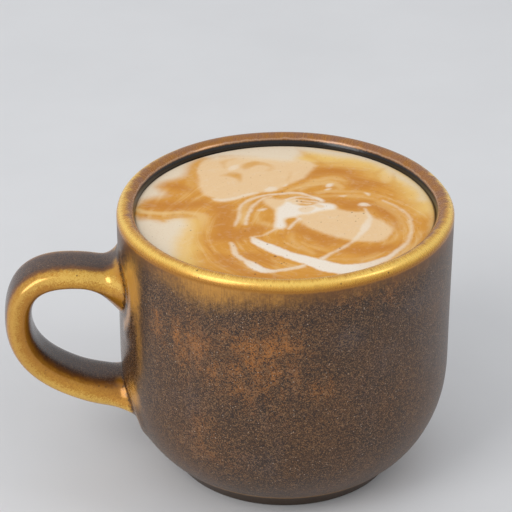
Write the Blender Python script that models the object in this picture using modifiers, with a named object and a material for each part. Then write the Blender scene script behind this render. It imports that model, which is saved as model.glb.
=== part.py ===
"""A latte in its stoneware mug, for Blender 4.5. Metres, +Z up.

The origin is on the mug's axis, on the surface that the mug stands on. The handle points to -X.
The mug, with its handle, is one fired piece. The drink fills it to just under the rim.
"""
import math

import bmesh
import bpy
import numpy as np

# Mug body, outside
RIM_RADIUS = 0.0500
MUG_HEIGHT = 0.0855
RIM_HALF_THICKNESS = 0.00245
SHOULDER_HEIGHT = 0.0380
BELLY_DEPTH = 0.0430
BELLY_POWER = 2.5
FOOT_HEIGHT = 0.0062
FOOT_RADIUS = 0.0338
FOOT_STEP = 0.0010
FOOT_EDGE = 0.0005

# Mug body, inside
CAVITY_RADIUS = 0.0446
LIP_HEIGHT = 0.0823
CAVITY_FLOOR = 0.0092
CAVITY_POWER = 3.2

# Drink
DRINK_LEVEL = 0.0823
DRINK_GAP = 0.0003

# Handle: where it leaves the wall above and below, its outermost reach, and its strap section
HANDLE_EMBED = 0.0032
HANDLE_TOP = 0.06355
HANDLE_BOTTOM = 0.0223
HANDLE_REACH = 0.0804
HANDLE_REACH_HEIGHT = 0.0503
HANDLE_BOTTOM_SLOPE = 0.322
TOP_PULL = 0.0098
REACH_PULL_UP = 0.0229
REACH_PULL_DOWN = 0.01975
BOTTOM_PULL = 0.0115
STRAP_THICKNESS_TOP = 0.0070
STRAP_THICKNESS_REACH = 0.0081
STRAP_THICKNESS_BOTTOM = 0.0091
STRAP_WIDTH_TOP = 0.0169
STRAP_WIDTH_BOTTOM = 0.0172
STRAP_POWER = 2.8

# Flares where the handle meets the wall: growth at its end, length that it fades over, and power
TOP_FLARE_INSIDE = (0.0112, 0.0146, 2)
TOP_FLARE_OUTSIDE = (0.0160, 0.0110, 3)
BOTTOM_FLARE_INSIDE = (0.0045, 0.0179, 2)
BOTTOM_FLARE_OUTSIDE = (0.0036, 0.0058, 3)
SIDE_FLARE = (0.0030, 0.0065, 2)
WALL_FIT_LENGTH = 0.0090

# Facets
TURN_STEPS = 72
WALL_STEPS = 5
BELLY_STEPS = 9
RIM_STEPS = 5
CAVITY_STEPS = 9
HANDLE_SECTIONS = 46
END_CROWDING = 0.35
SECTION_POINTS = 24
PATH_SAMPLES = 400
MERGE = 0.00001

GLAZE_COLOUR = (0.075, 0.040, 0.022, 1.0)
FOAM_COLOUR = (0.620, 0.300, 0.095, 1.0)


def clear_scene():
    """Remove every object of the open scene."""
    for item in list(bpy.data.objects):
        bpy.data.objects.remove(item, do_unlink=True)


def new_collection(name):
    """A collection linked to the scene."""
    group = bpy.data.collections.new(name)
    bpy.context.scene.collection.children.link(group)
    return group


def material(name, colour, roughness, metallic=0.0):
    """A Principled BSDF with one colour."""
    finish = bpy.data.materials.new(name)
    finish.use_nodes = True
    shader = finish.node_tree.nodes["Principled BSDF"]
    shader.inputs["Base Color"].default_value = colour
    shader.inputs["Roughness"].default_value = roughness
    shader.inputs["Metallic"].default_value = metallic
    finish.diffuse_color = colour
    return finish


def superellipse(share, power):
    """The other coordinate of a unit superellipse, where one coordinate is the given share."""
    return (1.0 - np.clip(share, 0.0, 1.0) ** power) ** (1.0 / power)


def wall_radius(height):
    """Outer radius: straight above the shoulder, closing in as a superellipse below it."""
    return RIM_RADIUS * superellipse((SHOULDER_HEIGHT - height) / BELLY_DEPTH, BELLY_POWER)


def cavity_radius(height):
    """Inner radius: straight above the shoulder, rounding into the floor below it."""
    depth = SHOULDER_HEIGHT - CAVITY_FLOOR
    return CAVITY_RADIUS * superellipse((SHOULDER_HEIGHT - height) / depth, CAVITY_POWER)


def eased_heights(top, bottom, steps):
    """Heights from top to bottom that crowd towards the bottom, where the curve turns in."""
    return bottom + (top - bottom) * np.cos(np.linspace(0.0, math.pi / 2.0, steps + 1))


def outside_profile():
    """Points down the outside, from the rim's edge to the foot."""
    edge = MUG_HEIGHT - RIM_HALF_THICKNESS
    straight = np.linspace(edge, SHOULDER_HEIGHT, WALL_STEPS, endpoint=False)
    belly = SHOULDER_HEIGHT + FOOT_HEIGHT - eased_heights(SHOULDER_HEIGHT, FOOT_HEIGHT, BELLY_STEPS)[::-1]
    heights = np.concatenate([straight, belly])
    points = list(zip(wall_radius(heights), heights))
    foot_top = float(wall_radius(np.array(FOOT_HEIGHT)))
    points.append((foot_top - FOOT_STEP, FOOT_HEIGHT - FOOT_STEP))
    points.append((FOOT_RADIUS + FOOT_EDGE, FOOT_EDGE))
    points.append((FOOT_RADIUS, 0.0))
    return points


def rim_profile():
    """The rim from its inner edge over the top to its outer edge: an ellipse, then a circle."""
    centre = RIM_RADIUS - RIM_HALF_THICKNESS
    points = []
    for angle in np.linspace(math.pi, math.pi / 2.0, RIM_STEPS, endpoint=False):
        points.append((centre + (centre - CAVITY_RADIUS) * math.cos(angle),
                       LIP_HEIGHT + (MUG_HEIGHT - LIP_HEIGHT) * math.sin(angle)))
    for angle in np.linspace(math.pi / 2.0, 0.0, RIM_STEPS, endpoint=False):
        points.append((centre + RIM_HALF_THICKNESS * math.cos(angle),
                       MUG_HEIGHT - RIM_HALF_THICKNESS * (1.0 - math.sin(angle))))
    return points


def cavity_profile(shrink=0.0):
    """Points down the inside from the lip to the axis, moved inwards by shrink."""
    straight = np.linspace(LIP_HEIGHT, SHOULDER_HEIGHT, 2, endpoint=False)
    rounding = eased_heights(SHOULDER_HEIGHT, CAVITY_FLOOR, CAVITY_STEPS)
    heights = np.concatenate([straight, rounding])
    radii = cavity_radius(heights)
    slope_in = np.gradient(heights)
    slope_out = np.gradient(radii)
    length = np.hypot(slope_in, slope_out)
    points = list(zip(radii + shrink * slope_in / length, heights - shrink * slope_out / length))
    points[-1] = (0.0, CAVITY_FLOOR + shrink)
    return points


def turned_object(name, points, group):
    """A solid of revolution: its profile starts and ends on the axis and runs down the outside."""
    data = bpy.data.meshes.new(name)
    corners = [(radius, 0.0, height) for radius, height in points]
    data.from_pydata(corners, [(i, i + 1) for i in range(len(corners) - 1)], [])
    item = bpy.data.objects.new(name, data)
    group.objects.link(item)
    turn = item.modifiers.new("turn", "SCREW")
    turn.axis = "Z"
    turn.steps = TURN_STEPS
    turn.render_steps = TURN_STEPS
    turn.use_merge_vertices = True
    turn.merge_threshold = MERGE
    return item


def bezier(start, pull_start, pull_end, end, shares):
    """Points of a cubic Bezier curve at the given shares of its parameter."""
    t = shares[:, None]
    return ((1 - t) ** 3 * start + 3 * (1 - t) ** 2 * t * pull_start
            + 3 * (1 - t) * t ** 2 * pull_end + t ** 3 * end)


def handle_path():
    """The strap's centre line as (reach, height) points, evenly spaced, and its distance run."""
    shares = np.linspace(0.0, 1.0, PATH_SAMPLES)
    root = RIM_RADIUS - HANDLE_EMBED
    top = np.array([root, HANDLE_TOP])
    tip = np.array([HANDLE_REACH, HANDLE_REACH_HEIGHT])
    bottom = np.array([root, HANDLE_BOTTOM])
    slope = np.array([math.cos(HANDLE_BOTTOM_SLOPE), math.sin(HANDLE_BOTTOM_SLOPE)])
    upper = bezier(top, top + (TOP_PULL, 0.0), tip + (0.0, REACH_PULL_UP), tip, shares)
    lower = bezier(tip, tip - (0.0, REACH_PULL_DOWN), bottom + BOTTOM_PULL * slope, bottom, shares)
    curve = np.concatenate([upper, lower[1:]])
    run = np.concatenate([[0.0], np.cumsum(np.hypot(*np.diff(curve, axis=0).T))])
    even = np.linspace(0.0, 1.0, HANDLE_SECTIONS)
    crowded = 0.5 - 0.5 * np.cos(math.pi * even)
    distance = run[-1] * (even + END_CROWDING * (crowded - even))
    path = np.stack([np.interp(distance, run, curve[:, 0]), np.interp(distance, run, curve[:, 1])], 1)
    along = np.gradient(path, distance, axis=0)
    return path, along / np.hypot(*along.T)[:, None], distance


def flare(distance, growth, length, power):
    """Growth that fades over a length, as a power of what is left of it."""
    return growth * np.clip(1.0 - distance / length, 0.0, 1.0) ** power


def handle_sections():
    """Rings of points round the strap, from its upper end in the wall to its lower end."""
    path, along, distance = handle_path()
    total = distance[-1]
    share = distance / total
    rest = total - distance
    thickness = np.interp(share, [0.0, 0.5, 1.0],
                          [STRAP_THICKNESS_TOP, STRAP_THICKNESS_REACH, STRAP_THICKNESS_BOTTOM])
    width = STRAP_WIDTH_TOP + (STRAP_WIDTH_BOTTOM - STRAP_WIDTH_TOP) * share
    inside = thickness / 2 + flare(distance, *TOP_FLARE_INSIDE) + flare(rest, *BOTTOM_FLARE_INSIDE)
    outside = thickness / 2 + flare(distance, *TOP_FLARE_OUTSIDE) + flare(rest, *BOTTOM_FLARE_OUTSIDE)
    side = width / 2 + flare(np.minimum(distance, rest), *SIDE_FLARE)
    angle = np.linspace(0.0, 2.0 * math.pi, SECTION_POINTS, endpoint=False)
    across = np.sign(np.cos(angle)) * np.abs(np.cos(angle)) ** (2.0 / STRAP_POWER)
    sideways = np.sign(np.sin(angle)) * np.abs(np.sin(angle)) ** (2.0 / STRAP_POWER)
    half = np.where(across > 0.0, inside[:, None], outside[:, None])
    # The inner side of the strap faces the hole, to the right of the way that the path runs.
    inner = np.stack([along[:, 1], -along[:, 0]], 1)
    reach = path[:, None, 0] + inner[:, None, 0] * across * half
    height = path[:, None, 1] + inner[:, None, 1] * across * half
    offset = sideways * side[:, None]
    # Towards each end the rings bend to lie along the round wall, just under its surface.
    near = np.minimum(distance, rest)[:, None]
    buried = np.sqrt((wall_radius(height) - HANDLE_EMBED) ** 2 - offset ** 2)
    fit = np.clip(1.0 - near / WALL_FIT_LENGTH, 0.0, 1.0) ** 2
    reach = reach + fit * (buried + near * np.abs(along[:, 0])[:, None] - reach)
    return np.stack([-reach, offset, height], axis=2)


def handle_object(name, group):
    """A closed loft through the handle's rings, with a fan over each buried end."""
    rings = handle_sections()
    shape = bmesh.new()
    rows = []
    for ring in rings:
        rows.append([shape.verts.new(point) for point in ring])
    for first, second in zip(rows[:-1], rows[1:]):
        for i in range(SECTION_POINTS):
            j = (i + 1) % SECTION_POINTS
            shape.faces.new((first[i], first[j], second[j], second[i]))
    for row, ring in ((rows[0], rings[0]), (rows[-1], rings[-1])):
        middle = shape.verts.new(ring.mean(axis=0))
        for i in range(SECTION_POINTS):
            shape.faces.new((row[i], row[(i + 1) % SECTION_POINTS], middle))
    bmesh.ops.recalc_face_normals(shape, faces=shape.faces)
    data = bpy.data.meshes.new(name)
    shape.to_mesh(data)
    shape.free()
    item = bpy.data.objects.new(name, data)
    group.objects.link(item)
    return item


def build_mug(group, tools):
    """The turned body with the handle fused to its wall."""
    points = cavity_profile()[::-1] + rim_profile()[1:] + outside_profile() + [(0.0, 0.0)]
    mug = turned_object("mug", points, group)
    handle = handle_object("handle_form", tools)
    handle.hide_render = True
    handle.display_type = "WIRE"
    fuse = mug.modifiers.new("handle", "BOOLEAN")
    fuse.operation = "UNION"
    fuse.object = handle
    mug.data.materials.append(material("reactive_glaze", GLAZE_COLOUR, 0.28))
    return mug


def build_drink(group):
    """The drink, solid from the cavity's floor to its level."""
    side = [(radius, height) for radius, height in cavity_profile(DRINK_GAP) if height < DRINK_LEVEL]
    edge = (CAVITY_RADIUS - DRINK_GAP, DRINK_LEVEL)
    points = [(0.0, DRINK_LEVEL), edge] + side[1:]
    drink = turned_object("latte", points, group)
    drink.data.materials.append(material("milk_foam", FOAM_COLOUR, 0.45))
    return drink


def smooth(item):
    """Shade round faces smooth, by the turn's own setting and by the mesh's faces."""
    for modifier in item.modifiers:
        if modifier.type == "SCREW":
            modifier.use_smooth_shade = True


def main():
    """Build the mug and its drink."""
    clear_scene()
    group = new_collection("latte_in_mug")
    tools = new_collection("cutters")
    for item in (build_mug(group, tools), build_drink(group)):
        smooth(item)


main()
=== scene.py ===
import math

import bpy
import numpy as np
from bpy.props import FloatProperty, FloatVectorProperty, IntProperty, PointerProperty
from mathutils import Matrix, Vector


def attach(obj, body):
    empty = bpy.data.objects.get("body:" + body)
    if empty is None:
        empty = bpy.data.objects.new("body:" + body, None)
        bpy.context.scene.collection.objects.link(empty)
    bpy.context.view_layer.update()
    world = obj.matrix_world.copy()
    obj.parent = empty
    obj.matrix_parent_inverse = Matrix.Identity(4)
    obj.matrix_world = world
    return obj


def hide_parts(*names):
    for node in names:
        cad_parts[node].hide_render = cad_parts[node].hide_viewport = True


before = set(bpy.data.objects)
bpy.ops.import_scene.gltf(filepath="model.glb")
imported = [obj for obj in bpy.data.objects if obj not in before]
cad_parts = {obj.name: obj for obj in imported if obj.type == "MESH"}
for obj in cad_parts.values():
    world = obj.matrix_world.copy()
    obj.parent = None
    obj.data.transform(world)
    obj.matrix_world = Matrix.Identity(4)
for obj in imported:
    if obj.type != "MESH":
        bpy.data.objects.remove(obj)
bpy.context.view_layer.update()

bl_info = {
    "name": "Latte in a glazed mug",
    "version": (1, 0, 0),
    "blender": (4, 5, 0),
    "location": "3D View > Sidebar > Latte",
    "description": "Builds a latte with its milk pattern and the glazed mug that holds it",
    "category": "Object",
}

MM = 0.001

# Rim and foot: where the profile's parts change, in metres
RIM_HALF_THICKNESS = 0.00245
LIP_HEIGHT = 0.0823
SHOULDER_HEIGHT = 0.0380
BELLY_DEPTH = 0.0430
BELLY_POWER = 2.5
FOOT_HEIGHT = 0.0062
FOOT_RADIUS = 0.0338
CAVITY_FLOOR = 0.0092
CAVITY_POWER = 3.2
RIM_ARC = RIM_HALF_THICKNESS * math.pi / 2

# Foot: width of its corner under the wall, and of the corner of its base
FOOT_CORNER = 0.0010
BASE_CORNER = 0.0020

# Handle: ends and furthest point of its middle line, with the pulls of its two Bezier curves
HANDLE_EMBED = 0.0032
HANDLE_TOP = 0.06355
HANDLE_BOTTOM = 0.0223
HANDLE_REACH = 0.0804
HANDLE_REACH_HEIGHT = 0.0503
HANDLE_BOTTOM_SLOPE = 0.322
TOP_PULL = 0.0098
REACH_PULL_UP = 0.0229
REACH_PULL_DOWN = 0.01975
BOTTOM_PULL = 0.0115
STRAP_THICKNESSES = (0.0070, 0.0081, 0.0091)
STRAP_WIDTHS = (0.0169, 0.0172)
STRAP_POWER = 2.8
# Each flare: how much the half size grows at the joint, over what length, and its power
TOP_FLARE_INSIDE = (0.0112, 0.0146, 2)
TOP_FLARE_OUTSIDE = (0.0160, 0.0110, 3)
BOTTOM_FLARE_INSIDE = (0.0045, 0.0179, 2)
BOTTOM_FLARE_OUTSIDE = (0.0036, 0.0058, 3)
TOP_SIDE_FLARE = (0.0100, 0.0085, 2)
BOTTOM_SIDE_FLARE = (0.0058, 0.0080, 2)
JOINT_POWER = 2.1
WALL_FIT_LENGTH = 0.0090
# Where the sections turn from the joint's power to the strap's, from the nearer joint
POWER_CHANGE = (0.003, 0.014)

# Joints: how near the crease the surface is rounded (mm), in how many rounds, and how far the crease is followed (mm)
JOINT_REACH = 1.2
JOINT_ROUNDS = 6
CREASE_FAR = 30.0
# The joints lie behind this X and within this distance of the handle's middle plane
JOINT_BEHIND = -0.020
JOINT_WITHIN = 0.036
# Ridge beside a joint: height in metres, then its middle and width in mm from the crease
RIDGE_HEIGHT = 0.00050
RIDGE_MIDDLE = 5.2
RIDGE_WIDTH = 2.4
# Hand-made waves of the wall: height in metres, waves round, turn per metre upwards, start
HAND_WAVES = ((0.00012, 3, 18, 0.7), (0.00008, 5, -40, 0.0), (0.00005, 9, 95, 1.3))
# Half width in mm of the handle's brown faces, what it gains per mm inwards, and over how many mm
BROWN_HALF_WIDTH = 6.5
BROWN_GAIN = 0.19
BROWN_RANGE = 4.0
# Distances off the wall in mm: up to the first a vertex lies on the wall, beyond the second it belongs to the
# strap, and up to the third the glaze treats it as the wall
ON_WALL = 0.002
OFF_WALL = 0.02
NEAR_WALL = 0.3
# Depth of the handle's gold where there is no handle, in mm
NO_STRAP = -8.0
# A union with fewer vertices has failed
LEAST_VERTICES = 1000
# Radius in mm at which distances round the wall are measured
GLAZE_RADIUS = 50.0
# Edges that meet at more than this angle stay sharp, in degrees
SHARP_ANGLE = 50.0

# Drink: levels of its side above the shoulder, width of its rounded edge, and grid steps across that edge
SIDE_LEVELS = (0.070, 0.052)
EDGE_WIDTH = 0.0010
EDGE_STEPS = 12.0

# Glaze and painted light and shade on the wall: azimuth in degrees, height, reach round, reach up (mm), strength
GLAZE_AND_LIGHT_PLACES = {
    # Rust patches; the one at 240 degrees low down is partly painted light falling on the lower left of the wall
    "rust_and_light_places": (
        (262, 65, 9, 9, 1.0), (227, 63, 9, 7, 0.9), (236, 56, 8, 7, 0.8), (257, 56, 10, 7, 0.8), (246, 66, 8, 6, 0.6),
        (215, 64, 6, 6, 0.5), (262, 42, 8, 6, 0.3), (302, 77, 9, 6, 0.6), (286, 79, 6, 4, 0.5),
        (236, 36, 10, 6, 0.45), (240, 24, 12, 8, 0.6), (276, 50, 8, 6, 0.5), (250, 48, 6, 5, 0.5),
        (296, 45, 14, 12, 0.25), (330, 60, 9, 8, 0.4), (20, 62, 12, 9, 0.9), (48, 55, 10, 9, 0.7),
        (75, 66, 12, 7, 0.8), (105, 58, 10, 10, 0.7), (140, 64, 9, 8, 0.7), (60, 36, 12, 7, 0.3), (5, 44, 10, 8, 0.3),
    ),
    # Blue-grey glaze patches; the tall one at 335 degrees is a painted sheen of reflected light on the wall's right
    # side
    "cool_and_sheen_places": (
        (286, 66, 7, 5, 0.9), (313, 70, 8, 5, 0.9), (253, 26, 8, 6, 0.6), (302, 56, 9, 7, 0.5),
        (235, 42, 12, 6, 0.35), (335, 45, 14, 22, 0.6), (32, 70, 8, 5, 0.8), (90, 48, 10, 6, 0.6),
        (122, 72, 8, 5, 0.7), (155, 40, 10, 10, 0.4),
    ),
    # Golden runs where the glaze is thin; the narrow tall ones at 206 and 154 degrees, between the joints, are partly
    # a painted highlight along the ridge
    "gold_and_highlight_places": (
        (238, 83, 11, 8.5, 0.95), (253, 83, 14, 6, 0.42), (219, 80, 9, 4, 0.35), (302, 80, 16, 4, 0.2),
        (285, 81, 16, 3.5, 0.25), (262, 80, 9, 3.5, 0.3), (322, 80, 10, 3.5, 0.2), (202, 70, 5.0, 8, 1.5),
        (158, 70, 5.0, 8, 1.5), (206, 52, 2.4, 14, 0.6), (154, 52, 2.4, 14, 0.6), (200, 31, 4.0, 5, 1.2),
        (160, 31, 4.0, 5, 1.2), (60, 81, 22, 5, 0.6), (110, 81, 20, 6, 0.7), (10, 81, 18, 4, 0.4),
    ),
    # Painted shadow of the handle: dark brown bands on the wall beside it, on both sides
    "painted_handle_shadow_places": (
        (210, 62, 3.2, 24, 0.9), (150, 62, 3.2, 24, 0.9), (203, 46, 4.0, 10, 0.5), (157, 46, 4.0, 10, 0.5),
    ),
    "gloss_places": (
        (191, 46, 13, 22, 1.0), (169, 46, 13, 22, 1.0),
    ),
}

# The poured pattern, seen from above. Lengths are in tenths of a mm, and whiteness and strength in hundredths.
PATTERN_UNITS = (10.0, 10.0, 10.0, 100.0)
# Points on each span of the smooth line through a row of points
LINE_STEPS = 14
OUTLINE_STEPS = 12

# Lines of milk: x, y, full width and whiteness
MILK_LINES = (
    ((-109, -162, 13, 60), (-98, -184, 28, 90), (-76, -212, 34, 100), (-50, -241, 38, 100), (-20, -266, 40, 100),
     (10, -290, 42, 100), (40, -314, 46, 100), (66, -333, 52, 100), (92, -353, 56, 100), (120, -366, 54, 100),
     (150, -368, 48, 100), (180, -362, 39, 90), (210, -350, 31, 80), (240, -332, 25, 70), (272, -306, 18, 60),
     (302, -272, 15, 50), (330, -230, 12, 35), (350, -186, 11, 25), (360, -140, 10, 25), (364, -100, 10, 25),
     (360, -60, 10, 25), (350, -30, 11, 20), (336, -4, 10, 15), (318, 22, 10, 20), (302, 44, 8, 30)),
    ((-174, -186, 10, 30), (-170, -210, 18, 40), (-166, -240, 19, 45), (-156, -270, 18, 50), (-140, -296, 18, 60),
     (-122, -324, 30, 85), (-106, -346, 30, 95), (-86, -358, 24, 80), (-60, -362, 15, 60), (-32, -358, 14, 50),
     (-6, -350, 14, 45), (24, -338, 13, 50)),
    ((76, -304, 18, 60), (104, -276, 11, 35), (130, -254, 11, 35), (156, -232, 12, 30), (176, -212, 10, 25),
     (194, -186, 14, 50), (212, -154, 19, 60), (228, -120, 25, 65), (239, -86, 18, 55), (244, -54, 13, 45),
     (242, -26, 9, 35), (238, -6, 7, 30)),
    ((-157, -79, 6, 20), (-148, -56, 10, 30), (-137, -30, 11, 35), (-134, 0, 11, 30), (-130, 30, 12, 30),
     (-118, 58, 12, 35), (-98, 80, 13, 40), (-74, 96, 12, 40), (-46, 107, 10, 45), (-10, 112, 11, 50),
     (26, 114, 13, 50), (58, 112, 13, 50), (78, 100, 12, 50), (92, 84, 11, 60), (106, 70, 16, 85), (118, 56, 12, 70)),
    ((-122, -72, 10, 35), (-116, -44, 10, 45), (-110, -16, 10, 50), (-102, 12, 10, 45), (-92, 38, 10, 40),
     (-76, 62, 10, 40), (-58, 84, 9, 35), (-34, 96, 9, 35)),
    ((12, 72, 10, 50), (32, 83, 10, 60), (54, 88, 8, 50), (76, 84, 8, 50), (94, 72, 8, 60)),
    ((26, 62, 8, 40), (44, 70, 8, 40), (64, 66, 8, 40), (84, 58, 9, 50), (106, 50, 9, 60)),
    ((30, 48, 9, 50), (46, 54, 8, 40), (64, 48, 9, 40), (82, 44, 8, 50)),
    ((39, -54, 12, 70), (26, -72, 10, 50), (12, -92, 10, 50), (0, -110, 9, 40)),
    ((-36, -110, 11, 50), (-46, -119, 9, 25), (-64, -134, 8, 15), (-80, -148, 8, 15), (-102, -155, 8, 25),
     (-115, -159, 9, 30)),
    ((-80, 11, 7, 40), (-68, 17, 13, 45), (-56, 23, 7, 40)),
    ((224, 21, 10, 50), (238, 22, 23, 65), (254, 14, 10, 40)),
    ((142, 152, 9, 50), (151, 159, 20, 70), (161, 166, 9, 40)),
    ((138, 128, 7, 50), (145, 132, 10, 60), (153, 135, 6, 40)),
    ((12, 164, 7, 40), (19, 169, 10, 50), (27, 176, 6, 30)),
    ((254, 98, 5, 30), (259, 91, 10, 45), (261, 82, 5, 30)),
    ((176, 81, 6, 30), (185, 81, 10, 35), (194, 83, 5, 30)),
    ((-42, 136, 10, 40), (-28, 147, 30, 60), (-14, 158, 10, 40)),
    ((-140, 288, 11, 30), (-129, 302, 28, 45), (-116, 318, 10, 30)),
    ((-206, 98, 8, 30), (-188, 86, 14, 50), (-160, 90, 14, 50), (-126, 104, 14, 50), (-96, 116, 13, 50),
     (-70, 126, 10, 40)),
)
# Pale drifts: x, y, full width and strength
PALE_LINES = (
    ((-436, 48, 20, 100), (-414, 33, 22, 100), (-394, 24, 22, 100), (-366, 17, 22, 95), (-330, 17, 22, 90),
     (-294, 17, 22, 80), (-264, 8, 24, 80), (-246, -16, 28, 70), (-242, -50, 26, 50), (-248, -84, 20, 20)),
    ((-86, -62, 10, 50), (-68, -72, 18, 60), (-52, -88, 14, 50)),
    ((-276, -26, 30, 40), (-288, -80, 40, 70), (-306, -140, 46, 80), (-316, -200, 46, 80), (-324, -260, 40, 70)),
    ((-130, -64, 20, 70), (-126, -34, 24, 80), (-122, -2, 22, 60), (-116, 30, 19, 60), (-102, 58, 16, 60)),
    ((324, 166, 18, 60), (335, 196, 32, 85), (341, 224, 16, 40)),
    ((22, 126, 16, 70), (54, 146, 20, 70), (94, 176, 24, 70), (130, 196, 24, 70), (164, 206, 20, 60),
     (192, 194, 18, 50), (202, 168, 14, 30)),
    ((62, 132, 16, 60), (88, 158, 22, 70), (120, 176, 26, 80), (156, 174, 28, 80), (180, 154, 24, 70),
     (186, 128, 16, 40)),
    ((110, 108, 16, 60), (136, 118, 20, 70), (164, 116, 20, 60), (200, 112, 18, 50), (240, 104, 18, 40),
     (280, 80, 14, 30)),
    ((120, 86, 14, 40), (160, 86, 16, 50), (200, 82, 18, 60), (240, 74, 18, 45), (280, 50, 14, 30)),
    ((286, 34, 26, 40), (316, -16, 26, 40), (334, -66, 24, 40), (340, -120, 20, 40), (332, -170, 16, 30)),
    ((390, -240, 20, 50), (410, -180, 22, 60), (424, -110, 20, 70), (432, -40, 16, 60), (434, 40, 12, 50)),
    ((8, -138, 10, 30), (4, -180, 18, 45), (24, -226, 18, 45), (56, -266, 18, 50)),
    ((36, -198, 8, 40), (66, -230, 14, 50), (98, -256, 10, 30)),
    ((264, -228, 12, 30), (302, -202, 16, 45), (322, -158, 12, 30)),
    ((140, -312, 14, 30), (190, -310, 18, 40), (240, -286, 16, 30)),
    ((266, -336, 16, 60), (310, -296, 18, 60), (354, -236, 18, 50), (382, -166, 16, 40)),
    ((-86, -6, 10, 40), (-84, -40, 12, 50), (-78, -70, 10, 40)),
    ((4, 94, 9, 40), (34, 100, 9, 50), (62, 98, 8, 40)),
)
# Orange swirls over the cream and the milky patches: x, y, full width and strength
ORANGE_LINES = (
    ((-168, 252, 8, 40), (-146, 257, 24, 80), (-128, 249, 29, 95), (-120, 230, 17, 80), (-118, 212, 8, 40)),
    ((-100, 286, 14, 50), (-90, 304, 30, 80), (-68, 320, 30, 85), (-44, 318, 22, 60), (-24, 304, 16, 45),
     (-14, 282, 10, 30)),
    ((-156, 304, 9, 30), (-156, 332, 15, 45), (-140, 350, 13, 40), (-114, 366, 9, 30)),
    ((-260, 200, 26, 100), (-258, 240, 22, 100), (-254, 270, 19, 95), (-249, 302, 15, 90), (-238, 330, 12, 80),
     (-222, 354, 9, 60), (-206, 376, 5, 40)),
    ((-414, -6, 8, 50), (-390, -8, 15, 90), (-360, -12, 19, 100), (-326, -6, 16, 100), (-290, -4, 14, 90),
     (-266, -16, 12, 60)),
    ((-366, -16, 20, 100), (-364, -30, 14, 80), (-362, -40, 6, 40)),
    ((348, 154, 8, 40), (360, 186, 14, 50), (364, 224, 8, 30)),
    ((302, 222, 16, 50), (320, 246, 14, 40), (334, 258, 8, 30)),
    ((36, 198, 8, 30), (44, 226, 12, 30), (46, 260, 8, 20)),
    ((-30, 268, 12, 30), (-18, 290, 14, 30), (-18, 314, 9, 25)),
)
# Cream foam that runs thin along the wall: x, y, full width and strength
CREAM_LINES = (
    ((80, 426, 45, 100), (140, 410, 45, 100), (200, 384, 44, 100), (260, 346, 42, 100), (310, 302, 36, 90),
     (350, 254, 26, 80), (386, 194, 18, 70), (412, 124, 15, 60), (428, 40, 13, 50)),
)
# Closed outlines, each a row of x and y: the white in the middle
MILK_OUTLINES = (
    ((-24, 24), (-29, -6), (-34, -40), (-42, -74), (-44, -98), (-32, -112), (-14, -112), (-2, -96), (-3, -70),
     (2, -54), (18, -48), (36, -46), (48, -34), (80, -28), (108, -17), (130, -9), (152, -4), (159, 12), (156, 32),
     (134, 45), (108, 48), (86, 36), (60, 34), (40, 46), (26, 62), (8, 64), (-6, 44)),
)
# The gap in the white
MILK_GAPS = (
    ((-1, -59), (12, -56), (25, -60), (17, -74), (6, -86), (0, -72)),
)
# Thinner milk inside and beside the white
THIN_OUTLINES = (
    ((50, 18), (74, 24), (90, 14), (82, -6), (62, -18), (46, -12), (40, 4)),
    ((90, 30), (110, 32), (122, 20), (110, 8), (96, 14)),
)
# Milky patches
PEACH_OUTLINES = (
    ((-238, 310), (-242, 260), (-242, 200), (-236, 150), (-224, 124), (-206, 106), (-199, 86), (-182, 77), (-154, 82),
     (-120, 96), (-94, 108), (-78, 119), (-54, 129), (-23, 136), (0, 148), (26, 174), (56, 194), (76, 210), (90, 234),
     (106, 256), (118, 280), (120, 302), (110, 324), (88, 342), (50, 352), (0, 364), (-80, 380), (-140, 384),
     (-200, 370), (-226, 346)),
    ((40, -71), (59, -102), (84, -134), (115, -164), (146, -184), (178, -200), (203, -208), (234, -215), (259, -209),
     (280, -192), (296, -168), (301, -140), (293, -109), (276, -84), (259, -64), (247, -42), (234, -29), (214, -24),
     (192, -19), (171, -6), (140, 16), (90, 22), (50, 6), (36, -30)),
    ((-56, 78), (-48, 42), (-32, 10), (-26, -20), (0, -20), (30, 20), (50, 50), (42, 74), (20, 80), (-10, 78),
     (-32, 86)),
)
# Cream foam near the wall
CREAM_OUTLINES = (
    ((-446, 84), (-416, 104), (-386, 114), (-362, 122), (-348, 140), (-356, 166), (-360, 188), (-346, 210),
     (-316, 230), (-286, 250), (-276, 280), (-270, 310), (-252, 344), (-220, 370), (-180, 366), (-140, 378),
     (-100, 370), (-50, 358), (0, 350), (44, 342), (72, 356), (90, 386), (96, 420), (86, 460), (-100, 480),
     (-280, 400), (-400, 270), (-470, 120)),
    ((-460, 2), (-434, -6), (-404, -13), (-384, -26), (-366, -36), (-348, -24), (-326, -14), (-304, -16), (-292, -36),
     (-296, -70), (-312, -104), (-326, -140), (-338, -180), (-346, -220), (-360, -260), (-400, -270), (-460, -180)),
)
# Yellow crema near the wall
YELLOW_OUTLINES = (
    ((94, 386), (126, 346), (160, 312), (214, 296), (256, 258), (294, 226), (320, 184), (354, 150), (376, 80),
     (396, 10), (406, -60), (460, -40), (460, 140), (360, 300), (240, 380), (120, 430)),
    ((-320, -10), (-276, -16), (-252, -34), (-256, -80), (-270, -130), (-276, -190), (-286, -250), (-280, -310),
     (-340, -330), (-400, -280), (-380, -200), (-360, -100)),
    ((-80, 350), (0, 340), (60, 330), (120, 310), (140, 330), (100, 380), (20, 370), (-60, 370)),
)
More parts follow.
